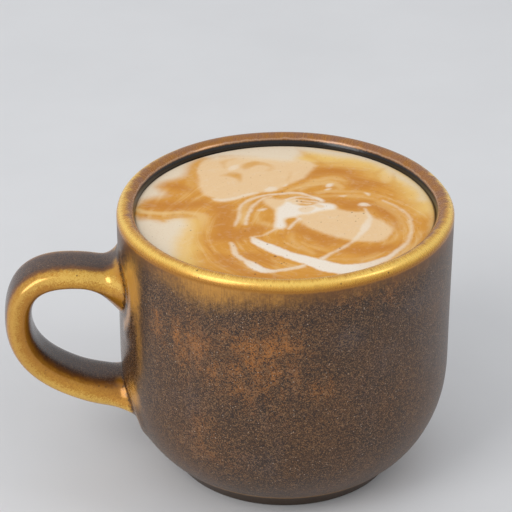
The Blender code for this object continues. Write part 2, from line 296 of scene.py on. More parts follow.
# Darker crema between the drifts
DARK_OUTLINES = (
    ((74, 196), (98, 228), (116, 254), (142, 276), (176, 282), (208, 270), (234, 242), (256, 208), (290, 180),
     (320, 156), (286, 134), (240, 132), (208, 146), (212, 180), (194, 212), (150, 222), (106, 208)),
    ((120, 64), (170, 68), (210, 60), (256, 44), (280, 14), (304, -26), (318, -80), (316, -140), (298, -96),
     (270, -66), (248, -20), (214, -12), (176, 2), (166, 34), (136, 52)),
    ((50, -92), (24, -96), (4, -134), (30, -164), (60, -204), (96, -234), (146, -216), (144, -194), (106, -166),
     (74, -130)),
    ((-216, 50), (-204, -20), (-214, -100), (-220, -160), (-160, -180), (-124, -156), (-90, -140), (-70, -110),
     (-96, -86), (-150, -88), (-150, -40), (-148, 20), (-154, 56), (-180, 70)),
    ((-406, 60), (-396, 88), (-350, 96), (-300, 98), (-244, 102), (-220, 80), (-210, 52), (-280, 40), (-340, 36)),
    ((-144, -240), (-106, -244), (-80, -280), (-66, -330), (-100, -316), (-130, -284)),
    ((130, -246), (180, -226), (240, -234), (290, -240), (260, -276), (190, -280), (146, -270)),
    ((-220, -240), (-178, -270), (-156, -310), (-134, -356), (-80, -384), (-40, -416), (-140, -400), (-200, -330)),
    ((-340, 194), (-300, 206), (-264, 184), (-266, 156), (-306, 164)),
)
# Single dark flecks on the foam: x, y and width
FLECKS = (
    (-54, -276, 9), (-70, -203, 6), (-120, -375, 7), (-285, -97, 5), (-127, -115, 5), (198, -26, 6), (232, -35, 6),
    (135, -245, 5), (100, -80, 5), (202, -83, 5), (-40, -320, 6), (-32, -314, 5), (-46, -312, 4), (-26, -322, 4),
    (130, -50, 4), (205, -50, 4), (155, -45, 4), (-184, -260, 4), (264, -36, 4), (-20, -200, 4), (43, 61, 7),
    (56, 59, 6), (-113, -310, 6), (-168, -204, 5), (136, -244, 6), (5, 124, 6),
)

# Depths are followed this far from an edge, in mm
DEPTH_LIMIT = 6.0
# Wandering of the soft shapes and of the fine ones: scale and reach in mm, and start
WIDE_WANDER = (5.5, 0.55, 0.4)
FINE_WANDER = (2.3, 0.16, 1.9)
# Middle in mm of the swirl in the crema, and how fast it changes outwards and round
SWIRL_MIDDLE = (12.0, -14.0)
SWIRL_OUTWARDS = 0.55
SWIRL_ROUND = 1.6

# How far the inner copper of the rim, partly painted shade, spreads outwards per mm along each axis: most at the back
COPPER_AND_SHADE_LEAN = (0.013, 0.040, 0.0)

# Camera: place, and the directions in which it looks and in which its right side lies
CAMERA_PLACE = (-0.057986, -0.577926, 0.384357)
CAMERA_LOOK = (0.07480493, 0.87443002, -0.47934993)
CAMERA_RIGHT = (0.99630993, -0.08582173, -0.00107688)
CAMERA_LENS = 155.05
SENSOR_WIDTH = 36.0
# Lights: name, place, size in metres and strength in watts, all turned towards one point of the mug
SOFT_LIGHTS = (("left_window", (-1.00, -0.76, 0.90), (0.70, 1.25), 10.5),
               ("right_window", (0.85, -0.35, 1.00), (0.26, 0.45), 1.6))
LIGHT_AIM = (0.0, 0.0, 0.05)
SKY_COLOUR = (0.95, 0.97, 1.0, 1.0)


def screen_colour(red, green, blue):
    """Linear colour of a screen colour in 0 to 255, by the sRGB curve."""
    share = np.array((red, green, blue)) / 255.0
    return tuple(float(value) for value in np.where(share <= 0.04045, share / 12.92, ((share + 0.055) / 1.055) ** 2.4))


def smooth_share(value, low, high):
    """Share from 0 at low to 1 at high, eased at both ends by 3t^2 - 2t^3."""
    share = np.clip((value - low) / (high - low), 0.0, 1.0)
    return share * share * (3.0 - 2.0 * share)


def superellipse(share, power):
    """Half height of a superellipse of unit half axes at a share of its half width: (1 - s^p)^(1/p)."""
    return (1.0 - np.clip(share, 0.0, 1.0) ** power) ** (1.0 / power)


def wall_radius(height, rim_radius):
    """Outer radius of the body: straight above the shoulder, and a superellipse quarter below it."""
    return rim_radius * superellipse((SHOULDER_HEIGHT - height) / BELLY_DEPTH, BELLY_POWER)


def cavity_radius(height, radius):
    """Inner radius of the body: straight above the shoulder, and closed by a superellipse quarter below it."""
    return radius * superellipse((SHOULDER_HEIGHT - height) / (SHOULDER_HEIGHT - CAVITY_FLOOR), CAVITY_POWER)


def soften_corners(points, rounds):
    """Corner cutting: every round puts two points at a quarter and three quarters of each edge, ends kept."""
    for _ in range(rounds):
        near = points[:-1] * 0.75 + points[1:] * 0.25
        far = points[:-1] * 0.25 + points[1:] * 0.75
        cut = np.stack([near, far], axis=1).reshape(-1, points.shape[1])
        points = np.vstack([points[:1], cut, points[-1:]])
    return points


def body_profile(shape):
    """Radius and height of the body's section, from the middle of its floor inside, over the rim, to its base.

    The cavity follows its superellipse, the rim is an ellipse quarter inside and a circle quarter outside,
    the wall follows its own superellipse, and the foot is a short polyline with cut corners.
    """
    swing = np.linspace(math.pi / 2, 0.0, 22)
    floor = SHOULDER_HEIGHT - (SHOULDER_HEIGHT - CAVITY_FLOOR) * np.sin(swing)
    cavity = np.column_stack([cavity_radius(floor, shape.cavity_radius), floor])
    cavity[0, 0] = 0.0
    straight = np.linspace(SHOULDER_HEIGHT, LIP_HEIGHT, 8)[1:-1]
    inside = np.column_stack([np.full(len(straight), shape.cavity_radius), straight])
    crest_radius = shape.rim_radius - RIM_HALF_THICKNESS
    turn = np.linspace(0.0, math.pi / 2, 27)
    inner = np.column_stack([crest_radius - (crest_radius - shape.cavity_radius) * np.cos(turn),
                             LIP_HEIGHT + (shape.height - LIP_HEIGHT) * np.sin(turn)])
    outer = np.column_stack([crest_radius + RIM_HALF_THICKNESS * np.sin(turn[1:]),
                             shape.height - RIM_HALF_THICKNESS * (1.0 - np.cos(turn[1:]))])
    upper = np.linspace(shape.height - RIM_HALF_THICKNESS, SHOULDER_HEIGHT, 40)[1:]
    lower = np.linspace(SHOULDER_HEIGHT, FOOT_HEIGHT, 56)[1:-1]
    drop = np.concatenate([upper, lower])
    wall = np.column_stack([wall_radius(drop, shape.rim_radius), drop])
    edge = wall_radius(FOOT_HEIGHT, shape.rim_radius)
    foot = np.array([(edge, FOOT_HEIGHT), (edge - FOOT_CORNER, FOOT_HEIGHT - FOOT_CORNER),
                     (edge - 2 * FOOT_CORNER, 4 * FOOT_CORNER), (FOOT_RADIUS + 0.0005, 0.0005),
                     (FOOT_RADIUS, 0.0), (FOOT_RADIUS - BASE_CORNER, 0.0)])
    base = np.linspace(FOOT_RADIUS - BASE_CORNER, 0.0, 7)[1:]
    under = np.column_stack([base, np.zeros(len(base))])
    return np.vstack([cavity, inside, inner, outer, wall, soften_corners(foot, 2), under])


def revolve(profile, turns):
    """Surface of revolution whose profile starts and ends on the axis: vertices and outward faces."""
    angle = np.linspace(0.0, 2.0 * math.pi, turns, endpoint=False)
    rings = profile[1:-1]
    radius, height = rings[:, :1], rings[:, 1:]
    grid = np.stack([radius * np.cos(angle), radius * np.sin(angle), height + 0.0 * angle], axis=-1)
    return close_tube(grid, [(0.0, 0.0, profile[0, 1]), (0.0, 0.0, profile[-1, 1])])


def ring_quads(rings, points):
    """Quads between closed rings of equal length, all wound the same way."""
    ring = np.arange(rings - 1)[:, None] * points
    step = np.arange(points)[None, :]
    following = (step + 1) % points
    quads = np.stack([ring + step, ring + following, ring + points + following, ring + points + step], axis=-1)
    return quads.reshape(-1, 4)


def bezier(start, first_pull, second_pull, finish, share):
    """Point and direction on a cubic Bezier curve at each share of its parameter."""
    t = share[:, None]
    rest = 1.0 - t
    points = (rest ** 3 * start + 3 * rest ** 2 * t * first_pull + 3 * rest * t ** 2 * second_pull + t ** 3 * finish)
    along = (rest ** 2 * (first_pull - start) + 2 * rest * t * (second_pull - first_pull)
             + t ** 2 * (finish - second_pull))
    return points, along / np.linalg.norm(along, axis=1, keepdims=True)


def handle_path(shape, count):
    """Middle line of the handle as reach from the axis and height: two Bezier curves, spaced by arc length."""
    root = shape.rim_radius - HANDLE_EMBED
    top = np.array((root, HANDLE_TOP))
    tip = np.array((HANDLE_REACH, HANDLE_REACH_HEIGHT))
    bottom = np.array((root, HANDLE_BOTTOM))
    lean = BOTTOM_PULL * np.array((math.cos(HANDLE_BOTTOM_SLOPE), math.sin(HANDLE_BOTTOM_SLOPE)))
    fine = np.linspace(0.0, 1.0, 600)
    upper = bezier(top, top + (TOP_PULL, 0.0), tip + (0.0, REACH_PULL_UP), tip, fine)
    lower = bezier(tip, tip - (0.0, REACH_PULL_DOWN), bottom + lean, bottom, fine[1:])
    points = np.vstack([upper[0], lower[0]])
    along = np.vstack([upper[1], lower[1]])
    length = np.concatenate([[0.0], np.cumsum(np.linalg.norm(np.diff(points, axis=0), axis=1))])
    wanted = np.linspace(0.0, length[-1], count)
    place = np.column_stack([np.interp(wanted, length, points[:, i]) for i in range(2)])
    way = np.column_stack([np.interp(wanted, length, along[:, i]) for i in range(2)])
    return place, way / np.linalg.norm(way, axis=1, keepdims=True), wanted


def flare(distance, growth, length, power):
    """Extra half size near a joint: the growth, eased to nothing over the length by a power."""
    return growth * np.clip(1.0 - distance / length, 0.0, 1.0) ** power


def handle_rings(shape):
    """Sections of the strap along its middle line: superellipses that flare and bend to meet the wall."""
    place, way, distance = handle_path(shape, shape.handle_sections)
    total = distance[-1]
    share = distance / total
    rest = total - distance
    thickness = np.interp(share, (0.0, 0.5, 1.0), STRAP_THICKNESSES)
    width = np.interp(share, (0.0, 1.0), STRAP_WIDTHS)
    inside = thickness / 2 + flare(distance, *TOP_FLARE_INSIDE) + flare(rest, *BOTTOM_FLARE_INSIDE)
    outside = thickness / 2 + flare(distance, *TOP_FLARE_OUTSIDE) + flare(rest, *BOTTOM_FLARE_OUTSIDE)
    side = width / 2 + flare(distance, *TOP_SIDE_FLARE) + flare(rest, *BOTTOM_SIDE_FLARE)
    turn = np.linspace(0.0, 2.0 * math.pi, shape.strap_points, endpoint=False)
    near = np.minimum(distance, rest)
    power = (JOINT_POWER + (STRAP_POWER - JOINT_POWER) * smooth_share(near, *POWER_CHANGE))[:, None]
    across = np.sign(np.cos(turn)) * np.abs(np.cos(turn)) ** (2.0 / power)
    sideways = np.sign(np.sin(turn)) * np.abs(np.sin(turn)) ** (2.0 / power)
    half = np.where(across > 0.0, inside[:, None], outside[:, None])
    inner = np.column_stack([way[:, 1], -way[:, 0]])
    reach = place[:, :1] + inner[:, :1] * across * half
    height = place[:, 1:] + inner[:, 1:] * across * half
    offset = sideways * side[:, None]
    fit = (np.clip(1.0 - near / WALL_FIT_LENGTH, 0.0, 1.0) ** 2)[:, None]
    buried = np.sqrt((wall_radius(height, shape.rim_radius) - HANDLE_EMBED) ** 2 - offset ** 2)
    reach = reach + fit * (buried + (near * np.abs(way[:, 0]))[:, None] - reach)
    return np.stack([-reach, offset, height], axis=-1)


def close_tube(rings, ends):
    """Tube through closed rings with a fan to a point at each end: vertices and faces."""
    count, points = rings.shape[:2]
    vertices = np.vstack([rings.reshape(-1, 3), ends])
    step = np.arange(points)
    following = (step + 1) % points
    last = (count - 1) * points
    start = np.column_stack([np.full(points, len(vertices) - 2), following, step])
    finish = np.column_stack([np.full(points, len(vertices) - 1), last + step, last + following])
    return vertices, [ring_quads(count, points), start, finish]


def enclosed_volume(vertices, face_sets):
    """Signed volume inside the faces, by the sum of the tetrahedra that they make with the origin."""
    total = 0.0
    for faces in face_sets:
        for step in range(1, faces.shape[1] - 1):
            a, b, c = vertices[faces[:, 0]], vertices[faces[:, step]], vertices[faces[:, step + 1]]
            total += float(np.einsum("ij,ij->", a, np.cross(b, c))) / 6.0
    return total


def make_mesh(name, vertices, face_sets):
    """Mesh from vertices and arrays of faces, turned outwards where the enclosed volume comes out negative."""
    if enclosed_volume(vertices, face_sets) < 0.0:
        face_sets = [faces[:, ::-1] for faces in face_sets]
    mesh = bpy.data.meshes.new(name)
    sizes = np.concatenate([np.full(len(faces), faces.shape[1]) for faces in face_sets])
    corners = np.concatenate([faces.ravel() for faces in face_sets])
    mesh.vertices.add(len(vertices))
    mesh.vertices.foreach_set("co", vertices.astype(np.float32).ravel())
    mesh.loops.add(len(corners))
    mesh.loops.foreach_set("vertex_index", corners.astype(np.int32))
    mesh.polygons.add(len(sizes))
    mesh.polygons.foreach_set("loop_start", np.concatenate([[0], np.cumsum(sizes)[:-1]]).astype(np.int32))
    mesh.update(calc_edges=True)
    mesh.validate()
    return mesh


def read_vertices(mesh):
    """Vertex positions of a mesh as an array."""
    flat = np.empty(len(mesh.vertices) * 3, dtype=np.float32)
    mesh.vertices.foreach_get("co", flat)
    return flat.reshape(-1, 3).astype(float)


def put_object(name, mesh):
    """New object for a mesh, at the origin, linked to the scene."""
    made = bpy.data.objects.new(name, mesh)
    bpy.context.scene.collection.objects.link(made)
    return made


def store(mesh, name, values):
    """Store one number or one vector per vertex as an attribute that a material can read."""
    kind, field = ("FLOAT", "value") if values.ndim == 1 else ("FLOAT_VECTOR", "vector")
    mesh.attributes.new(name, kind, "POINT").data.foreach_set(field, values.astype(np.float32).ravel())


def edge_ends(mesh):
    """The two vertices of every edge."""
    pairs = np.empty(len(mesh.edges) * 2, dtype=np.int32)
    mesh.edges.foreach_get("vertices", pairs)
    return pairs.reshape(-1, 2)


def join_solids(first, second, name):
    """One closed mesh from two solids, by a Boolean union whose result is kept."""
    base = put_object(name + "_base", first)
    tool = put_object(name + "_tool", second)
    union = base.modifiers.new("union", "BOOLEAN")
    union.operation = "UNION"
    union.solver = "MANIFOLD"
    union.object = tool
    graph = bpy.context.evaluated_depsgraph_get()
    joined = bpy.data.meshes.new_from_object(base.evaluated_get(graph), depsgraph=graph)
    joined.name = name
    for spare in (base, tool):
        mesh = spare.data
        bpy.data.objects.remove(spare)
        bpy.data.meshes.remove(mesh)
    return joined


def rim_way(points, shape):
    """Arc length from the rim's crest in mm, negative inwards and positive over the outside and down the wall."""
    radius = np.hypot(points[:, 0], points[:, 1])
    height = points[:, 2]
    crest = shape.rim_radius - RIM_HALF_THICKNESS
    outer = np.arctan2(radius - crest, height - (shape.height - RIM_HALF_THICKNESS))
    down = RIM_ARC + np.maximum(shape.height - RIM_HALF_THICKNESS - height, 0.0)
    over = RIM_HALF_THICKNESS * np.clip(outer, 0.0, 1.6)
    outside = np.where(height >= shape.height - RIM_HALF_THICKNESS, over, down)
    rise = shape.height - LIP_HEIGHT
    lean = np.arctan2((crest - radius) / (crest - shape.cavity_radius), (height - LIP_HEIGHT) / rise)
    inside = (rise + crest - shape.cavity_radius) / 2 * np.clip(lean, 0.0, math.pi / 2)
    inside = inside + np.maximum(LIP_HEIGHT - height, 0.0)
    within = (radius < crest) & (radius < wall_radius(height, shape.rim_radius) - 0.0008)
    return np.where(within, -inside, outside) / MM


def strap_across(points, shape):
    """How far a point of the strap lies from its middle line, positive inside the handle's opening (mm)."""
    place, way, _ = handle_path(shape, 160)
    spread = np.stack([-points[:, 0], points[:, 2]], axis=-1)
    gap = spread[:, None, :] - place[None, :, :]
    nearest = np.argmin((gap ** 2).sum(axis=-1), axis=1)
    chosen = gap[np.arange(len(points)), nearest]
    return (chosen[:, 0] * way[nearest, 1] - chosen[:, 1] * way[nearest, 0]) / MM


def place_weights(points, places):
    """Sum of soft round spots on the wall, each a bell over its distance round and up: strength e^(-d^2)."""
    azimuth = np.degrees(np.arctan2(points[:, 1], points[:, 0])) % 360.0
    total = np.zeros(len(points))
    for centre, height, round_reach, up_reach, strength in places:
        turn = (azimuth - centre + 180.0) % 360.0 - 180.0
        sideways = np.radians(turn) * GLAZE_RADIUS / round_reach
        upward = (points[:, 2] / MM - height) / up_reach
        total += strength * np.exp(-(sideways ** 2 + upward ** 2))
    return total


def in_parts(chosen, size):
    """Indexes in parts of about a size, so that tables of distances stay small."""
    return np.array_split(chosen, max(1, len(chosen) // size))


def crease_distance(points, crease):
    """Distance in mm from each point to the nearest point of the joints' creases, up to a far limit."""
    result = np.full(len(points), CREASE_FAR)
    close = np.flatnonzero((points[:, 0] < JOINT_BEHIND) & (np.abs(points[:, 1]) < JOINT_WITHIN))
    for part in in_parts(close, 2000):
        gap = points[part, None, :] - crease[None, :, :]
        result[part] = np.sqrt((gap ** 2).sum(axis=-1)).min(axis=1) / MM
    return np.minimum(result, CREASE_FAR)


def ease_joint(mesh, points, near, reach, rounds):
    """Round a joint: each vertex near the crease moves halfway to the mean of its neighbours, round by round."""
    pairs = edge_ends(mesh)
    weight = smooth_share(near, reach, 0.0)[:, None] * 0.5
    count = np.bincount(pairs.ravel(), minlength=len(points))[:, None]
    for _ in range(rounds):
        total = np.zeros_like(points)
        np.add.at(total, pairs[:, 0], points[pairs[:, 1]])
        np.add.at(total, pairs[:, 1], points[pairs[:, 0]])
        points = points + weight * (total / np.maximum(count, 1) - points)
    return points


def joint_swell(points, near, off_wall):
    """Ridge that the thumb leaves on the wall beside a joint, in metres: a bell over the distance from the crease."""
    beside = np.exp(-((near - RIDGE_MIDDLE) / RIDGE_WIDTH) ** 2) * smooth_share(np.abs(points[:, 1]) / MM, 8.0, 13.0)
    return RIDGE_HEIGHT * beside * (off_wall < NEAR_WALL) * smooth_share(points[:, 2] / MM, 82.0, 76.0)


def hand_unevenness(points):
    """Slight waves of a hand-finished wall in metres: a sum of sines of azimuth and height, none at the foot."""
    angle = np.arctan2(points[:, 1], points[:, 0])
    height = points[:, 2]
    wave = sum(size * np.sin(count * angle + climb * height + start) for size, count, climb, start in HAND_WAVES)
    return wave * smooth_share(height, 0.006, 0.020)


def spline(points, steps, closed):
    """Smooth line through given points (Catmull-Rom), with the same number of steps on each span."""
    if closed:
        padded = np.vstack([points[-1:], points, points[:2]])
    else:
        padded = np.vstack([2 * points[:1] - points[1:2], points, 2 * points[-1:] - points[-2:-1]])
    before, start, finish, after = (padded[i:len(padded) - 3 + i, None, :] for i in range(4))
    t = np.linspace(0.0, 1.0, steps, endpoint=False)[None, :, None]
    curve = 0.5 * (2 * start + (finish - before) * t + (2 * before - 5 * start + 4 * finish - after) * t ** 2
                   + (3 * start - before - 3 * finish + after) * t ** 3)
    curve = curve.reshape(-1, points.shape[1])
    return curve if closed else np.vstack([curve, points[-1:]])


def nearby(x, y, line, margin):
    """Indexes of the points within a margin of a line's box."""
    low, high = line[:, :2].min(axis=0) - margin, line[:, :2].max(axis=0) + margin
    return np.flatnonzero((x > low[0]) & (x < high[0]) & (y > low[1]) & (y < high[1]))


def line_depth(lines, x, y):
    """Depth in mm inside lines of milk: half the width less the distance, the deepest line counting.

    Gives the depth and the strength of the line at its deepest point.
    """
    depth = np.full(len(x), -DEPTH_LIMIT)
    strength = np.zeros(len(x))
    for points in lines:
        curve = spline(np.array(points) / PATTERN_UNITS, LINE_STEPS, False)
        chosen = nearby(x, y, curve, DEPTH_LIMIT)
        for part in in_parts(chosen, 8000):
            gap = np.hypot(x[part, None] - curve[None, :, 0], y[part, None] - curve[None, :, 1])
            lead = curve[None, :, 2] / 2 - gap
            best = lead.argmax(axis=1)
            deepest = lead.max(axis=1)
            deeper = deepest > depth[part]
            strength[part] = np.where(deeper, curve[best, 3], strength[part])
            depth[part] = np.maximum(depth[part], deepest)
    return depth, strength


def outline_depth(outlines, x, y):
    """Depth in mm inside closed outlines: the distance to the outline, positive within by the crossing rule."""
    depth = np.full(len(x), -DEPTH_LIMIT)
    for points in outlines:
        curve = spline(np.array(points) / PATTERN_UNITS[:2], OUTLINE_STEPS, True)
        following = np.roll(curve, -1, axis=0)
        chosen = nearby(x, y, curve, DEPTH_LIMIT)
        for part in in_parts(chosen, 8000):
            gap = np.hypot(x[part, None] - curve[None, :, 0], y[part, None] - curve[None, :, 1]).min(axis=1)
            above = curve[None, :, 1] > y[part, None]
            crosses = above != (following[None, :, 1] > y[part, None])
            rise = following[:, 1] - curve[:, 1]
            rise = np.where(np.abs(rise) < 1e-9, 1e-9, rise)
            meets = curve[None, :, 0] + (y[part, None] - curve[None, :, 1]) / rise * (following - curve)[None, :, 0]
            inside = (crosses & (x[part, None] < meets)).sum(axis=1) % 2 == 1
            depth[part] = np.maximum(depth[part], np.where(inside, gap, -gap))
    return depth


def wander(x, y, scale, reach, start):
    """Smooth sideways shift of points in mm, by sines that cross each other at a scale in mm."""
    across = (np.sin(x / scale + 1.7 * np.sin(y / scale * 0.6 + start)) + 0.6 * np.sin(y / scale * 1.9 + start * 2.1))
    along = (np.sin(y / scale + 1.4 * np.sin(x / scale * 0.7 + start * 1.3)) + 0.6 * np.sin(x / scale * 2.1 + start))
    return x + reach * across, y + reach * along


def square_to_disc(count):
    """Even grid over a disc: each square ring of a square grid becomes a circle of the same share.

    Gives the share of the radius and the angle of every grid point.
    """
    side = np.linspace(-1.0, 1.0, count + 1)
    a, b = np.meshgrid(side, side, indexing="ij")
    share = np.maximum(np.abs(a), np.abs(b))
    safe = np.where(share == 0.0, 1.0, share)
    wide = np.abs(a) >= np.abs(b)
    angle = np.where(wide, math.pi / 4 * b / np.where(wide, np.where(a == 0.0, safe, a), 1.0),
                     math.pi / 2 - math.pi / 4 * a / np.where(wide, 1.0, np.where(b == 0.0, safe, b)))
    radius = np.where(wide, a, b)
    return share, np.cos(angle) * radius, np.sin(angle) * radius


def drink_grid(sizes, cavity):
    """Closed solid of the drink: an even disc with a rounded edge on top, sides down the cavity and a bottom.

    Gives the vertices, the faces and how many of the vertices lie on top.
    """
    count = sizes.surface_steps
    share, along_x, along_y = square_to_disc(count)
    edge_share = 1.0 - EDGE_STEPS / count
    flat = cavity - EDGE_WIDTH
    outermost = cavity + sizes.wall_overlap
    radius = np.where(share <= edge_share, share / edge_share * flat,
                      flat + (share - edge_share) / (1.0 - edge_share) * (outermost - flat))
    unit = np.where(share == 0.0, 1.0, share)
    x, y = along_x / unit * radius, along_y / unit * radius
    fall = np.clip((radius - flat) / (outermost - flat), 0.0, 1.0)
    height = sizes.level - sizes.edge_drop * (1.0 - np.sqrt(1.0 - (fall * 0.96) ** 2))
    top = np.stack([x, y, height], axis=-1)
    index = np.arange((count + 1) ** 2).reshape(count + 1, count + 1)
    quads = np.stack([index[:-1, :-1], index[1:, :-1], index[1:, 1:], index[:-1, 1:]], axis=-1).reshape(-1, 4)
    border = np.concatenate([index[:-1, 0], index[-1, :-1], index[:0:-1, -1], index[0, :0:-1]])
    rim = top.reshape(-1, 3)[border]
    direction = rim[:, :2] / np.linalg.norm(rim[:, :2], axis=1, keepdims=True)
    swing = np.linspace(0.0, math.pi / 2, 9)[1:-1]
    levels = np.concatenate([SIDE_LEVELS, SHOULDER_HEIGHT - (SHOULDER_HEIGHT - CAVITY_FLOOR) * np.sin(swing)])
    radii = cavity_radius(levels, cavity) + sizes.wall_overlap
    side = np.concatenate([direction[None] * radii[:, None, None],
                           np.broadcast_to(levels[:, None, None], (len(levels), len(border), 1))], axis=-1)
    vertices = np.vstack([top.reshape(-1, 3), side.reshape(-1, 3), [(0.0, 0.0, CAVITY_FLOOR - sizes.wall_overlap)]])
    rows = index.size + np.arange(len(levels) * len(border)).reshape(len(levels), -1)
    rows = np.vstack([border, rows])
    following = np.roll(rows, -1, axis=1)
    walls = np.stack([rows[:-1], rows[1:], following[1:], following[:-1]], axis=-1).reshape(-1, 4)
    bottom = np.column_stack([rows[-1], np.full(len(border), len(vertices) - 1), following[-1]])
    return vertices, [quads, walls, bottom], index.size


def fill_sockets(tree, node, sockets):
    """Give inputs of a node their values: a wire is linked, and a colour gets its fourth number."""
    for name, value in sockets.items():
        socket = node.inputs[name]
        if isinstance(value, Wire):
            tree.links.new(value.socket, socket)
        else:
            socket.default_value = (*value[:3], 1.0) if socket.type == "RGBA" else value


def add_node(tree, kind, sockets=None, output=0, **settings):
    """Node with its options set and its inputs filled, as the wire from one of its outputs."""
    made = tree.nodes.new(kind)
    for name, value in settings.items():
        setattr(made, name, value)
    fill_sockets(tree, made, sockets or {})
    return Wire(tree, made.outputs[output])


class Wire:
    """Output of a shader node. Sums written with it add the nodes that work them out."""

    def __init__(self, tree, socket):
        self.tree, self.socket = tree, socket

    def other(self, name):
        """Another output of the same node."""
        return Wire(self.tree, self.socket.node.outputs[name])

    def math(self, operation, *values):
        """Result of a Math node."""
        return add_node(self.tree, "ShaderNodeMath", dict(enumerate(values)), operation=operation)

    def __add__(self, other):
        return self.math("ADD", self, other)

    def __sub__(self, other):
        return self.math("SUBTRACT", self, other)

    def __rsub__(self, other):
        return self.math("SUBTRACT", other, self)

    def __mul__(self, other):
        return self.math("MULTIPLY", self, other)

    def larger(self, other):
        """The larger of two values."""
        return self.math("MAXIMUM", self, other)

    def ease(self, low, high):
        """Smooth step from 0 where the value is low to 1 where it is high."""
        sockets = {"Value": self, "From Min": low, "From Max": high}
        return add_node(self.tree, "ShaderNodeMapRange", sockets, "Result", interpolation_type="SMOOTHSTEP")

    def band(self, middle, half_width):
        """Soft band: 1 where the value is at the middle, 0 from half a width away."""
        return self.math("ABSOLUTE", self - middle).ease(half_width, 0.0)

    def mix(self, first, second):
        """Mix of two colours, with this value as the share of the second."""
        return add_node(self.tree, "ShaderNodeMix", {0: self, 6: first, 7: second}, 2, data_type="RGBA")

    def part(self, axis):
        """One number of a vector."""
        return add_node(self.tree, "ShaderNodeSeparateXYZ", {0: self}, axis)

    def stretch(self, factors):
        """Vector with each direction multiplied by its own factor."""
        return add_node(self.tree, "ShaderNodeVectorMath", {0: self, 1: factors}, operation="MULTIPLY")

    def noise(self, scale, detail=2.0, roughness=0.5, distortion=0.0):
        """Noise texture value, mostly from 0.3 to 0.7."""
        sockets = {"Vector": self, "Scale": scale, "Detail": detail, "Roughness": roughness, "Distortion": distortion}
        return add_node(self.tree, "ShaderNodeTexNoise", sockets, "Fac")

    def cells(self, scale):
        """Distance to the nearest point of a Voronoi texture, and a random number for each of its cells."""
        distance = add_node(self.tree, "ShaderNodeTexVoronoi", {"Vector": self, "Scale": scale}, "Distance")
        return distance, add_node(self.tree, "ShaderNodeSeparateColor", {"Color": distance.other("Color")}, "Red")

    def grouped(self, name, **inputs):
        """Result of a shared group for this vector."""
        sockets = {"Vector": self, **{key.replace("_", " "): value for key, value in inputs.items()}}
        return add_node(self.tree, "ShaderNodeGroup", sockets, node_tree=shared_group(name))


def scattered_specks(place, cells_per_metre, speck_size, share):
    """Small round specks at random places: 1 in a speck, for a share of the cells of a Voronoi texture."""
    distance, pick = place.cells(cells_per_metre)
    size = speck_size * (pick.other("Green") + 0.5)
    return distance.ease(size, size * 0.45) * pick.math("LESS_THAN", pick, share)


def soft_clouds(place, scale, low, high):
    """Soft patches: noise at a scale, eased between two levels."""
    return place.noise(scale, detail=4.0, roughness=0.6).ease(low, high)


def fine_grain(place, scale):
    """Fine grain round nought: two noises at a scale and at twice and a half that scale, less their mean."""
    return place.noise(scale, detail=1.0) + place.noise(scale * 2.5, detail=1.0) - 1.0


def crystal_grain(place, cells_per_metre):
    """Crystals of uneven brightness round nought: a random value for each cell, for cells of two sizes."""
    small = place.cells(cells_per_metre)[1] - 0.5
    large = place.cells(cells_per_metre * 0.66)[1] - 0.5
    return small * 1.9 + large * 0.8


def wavering_edge(place, depth, scale, reach, blur):
    """Edge of a shape from its depth in mm: noise moves the edge by up to a reach, and a blur softens it."""
    moved = depth + (place.noise(scale, detail=3.0, roughness=0.6) - 0.5) * (reach * 3.0)
    return moved.ease(blur * -1.0, blur)


# The groups that the materials share: how each is worked out, and its inputs beside the vector
SHARED_GROUPS = {
    "Scattered specks": (scattered_specks, {"Cells per metre": 1000.0, "Speck size": 0.3, "Share": 0.3}),
    "Soft clouds": (soft_clouds, {"Scale": 100.0, "Low": 0.4, "High": 0.6}),
    "Fine grain": (fine_grain, {"Scale": 1500.0}),
    "Crystal grain": (crystal_grain, {"Cells per metre": 3000.0}),
    "Wavering edge": (wavering_edge, {"Depth": 0.0, "Scale": 300.0, "Reach": 0.3, "Blur": 0.3}),
}


def shared_group(name):
    """One of the shared groups, made the first time that it is asked for."""
    if name in bpy.data.node_groups:
        return bpy.data.node_groups[name]
    formula, inputs = SHARED_GROUPS[name]
    tree = bpy.data.node_groups.new(name, "ShaderNodeTree")
    tree.interface.new_socket("Vector", in_out="INPUT", socket_type="NodeSocketVector")
    for label, default in inputs.items():
        socket = tree.interface.new_socket(label, in_out="INPUT", socket_type="NodeSocketFloat")
        socket.default_value = default
    tree.interface.new_socket("Result", in_out="OUTPUT", socket_type="NodeSocketFloat")
    entry = tree.nodes.new("NodeGroupInput")
    leave = tree.nodes.new("NodeGroupOutput")
    result = formula(*(Wire(tree, socket) for socket in entry.outputs[:len(inputs) + 1]))
    fill_sockets(tree, leave, {0: result})
    return tree


def stored(tree, name, output="Fac"):
    """Number or vector stored on the mesh under a name."""
    return add_node(tree, "ShaderNodeAttribute", output=output, attribute_name=name)


def bumps(height, strength, distance):
    """Normal bent by a height."""
    return add_node(height.tree, "ShaderNodeBump", {"Height": height, "Strength": strength, "Distance": distance})


def paint_over(colour, layers):
    """Colour with the shade of each layer painted over it where the layer's mask is 1."""
    for mask, shade in layers:
        colour = mask.mix(colour, shade)
    return colour


def start_material(name):
    """Material, its tree, and the position in the object's own frame in metres."""
    material = bpy.data.materials.new(name)
    material.use_nodes = True
    return material, material.node_tree, add_node(material.node_tree, "ShaderNodeTexCoord", output="Object")


def finish_material(material, sockets):
    """Material with the inputs of its surface shader linked or set."""
    fill_sockets(material.node_tree, material.node_tree.nodes["Principled BSDF"], sockets)
    return material


